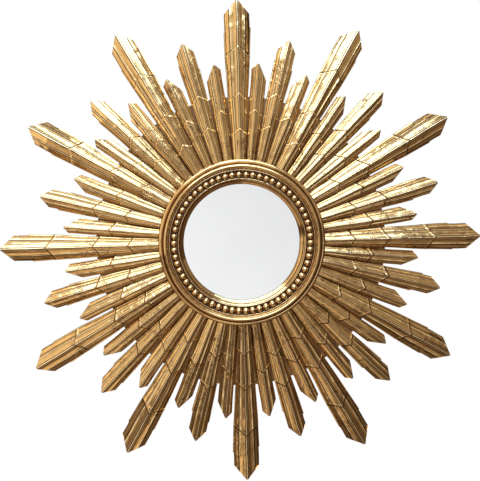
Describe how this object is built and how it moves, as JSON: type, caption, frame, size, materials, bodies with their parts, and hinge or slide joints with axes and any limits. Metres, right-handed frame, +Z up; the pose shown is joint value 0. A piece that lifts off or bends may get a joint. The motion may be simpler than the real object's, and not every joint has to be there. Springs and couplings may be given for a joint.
{
  "type": "sunburst wall mirror",
  "caption": "Round wall mirror in a turned, beaded frame ring with a star of long, medium and short carved gilt rays.",
  "frame": {"origin": "on the wall plane, behind the centre of the star", "axes": "+Z up, -Y out of the wall towards the viewer, +X to the viewer's right"},
  "size_m": [0.8998, 0.0484, 0.8998],
  "materials": {
    "gilt_rays": "carved wood under antiqued gold leaf, satin, umber in the recesses",
    "gilt_ring": "turned wood under burnished gold leaf, dark umber in the bead channel",
    "plywood": "birch plywood, sealed matte, its rim and front toned brown",
    "silvered_glass": "silvered float glass",
    "felt": "dark grey felt",
    "brass": "stamped brass strap and wire, lightly tarnished",
    "zinc_screws": "zinc-plated steel"
  },
  "bodies": {
    "mirror_body": {"long_ray_1": "gilt_rays", "long_ray_2": "gilt_rays", "long_ray_3": "gilt_rays", "long_ray_4": "gilt_rays", "long_ray_5": "gilt_rays", "long_ray_6": "gilt_rays", "long_ray_7": "gilt_rays", "long_ray_8": "gilt_rays", "long_ray_9": "gilt_rays", "long_ray_10": "gilt_rays", "long_ray_11": "gilt_rays", "long_ray_12": "gilt_rays", "medium_ray_1": "gilt_rays", "medium_ray_2": "gilt_rays", "medium_ray_3": "gilt_rays", "medium_ray_4": "gilt_rays", "medium_ray_5": "gilt_rays", "medium_ray_6": "gilt_rays", "medium_ray_7": "gilt_rays", "medium_ray_8": "gilt_rays", "medium_ray_9": "gilt_rays", "medium_ray_10": "gilt_rays", "medium_ray_11": "gilt_rays", "medium_ray_12": "gilt_rays", "short_ray_left_1": "gilt_rays", "short_ray_left_2": "gilt_rays", "short_ray_left_3": "gilt_rays", "short_ray_left_4": "gilt_rays", "short_ray_left_5": "gilt_rays", "short_ray_left_6": "gilt_rays", "short_ray_left_7": "gilt_rays", "short_ray_left_8": "gilt_rays", "short_ray_left_9": "gilt_rays", "short_ray_left_10": "gilt_rays", "short_ray_left_11": "gilt_rays", "short_ray_left_12": "gilt_rays", "short_ray_right_1": "gilt_rays", "short_ray_right_2": "gilt_rays", "short_ray_right_3": "gilt_rays", "short_ray_right_4": "gilt_rays", "short_ray_right_5": "gilt_rays", "short_ray_right_6": "gilt_rays", "short_ray_right_7": "gilt_rays", "short_ray_right_8": "gilt_rays", "short_ray_right_9": "gilt_rays", "short_ray_right_10": "gilt_rays", "short_ray_right_11": "gilt_rays", "short_ray_right_12": "gilt_rays", "backing_disc": "plywood", "frame_ring": "gilt_ring", "bead_strip": "gilt_ring", "mirror_glass": "silvered_glass", "glass_pad": "felt", "ray_screws": "zinc_screws", "ring_screws": "zinc_screws", "hanger_strap": "brass", "hanger_screws": "zinc_screws", "wall_pads": "felt"},
    "hanging_ring": {"hanger_ring": "brass"}
  },
  "joints": [
    {"name": "hanging_ring_swing", "type": "hinge", "parent": "mirror_body", "child": "hanging_ring", "pos_m": [0, -0.00325, 0.215], "axis": [-1, 0, 0], "range_deg": [0, 175]}
  ]
}
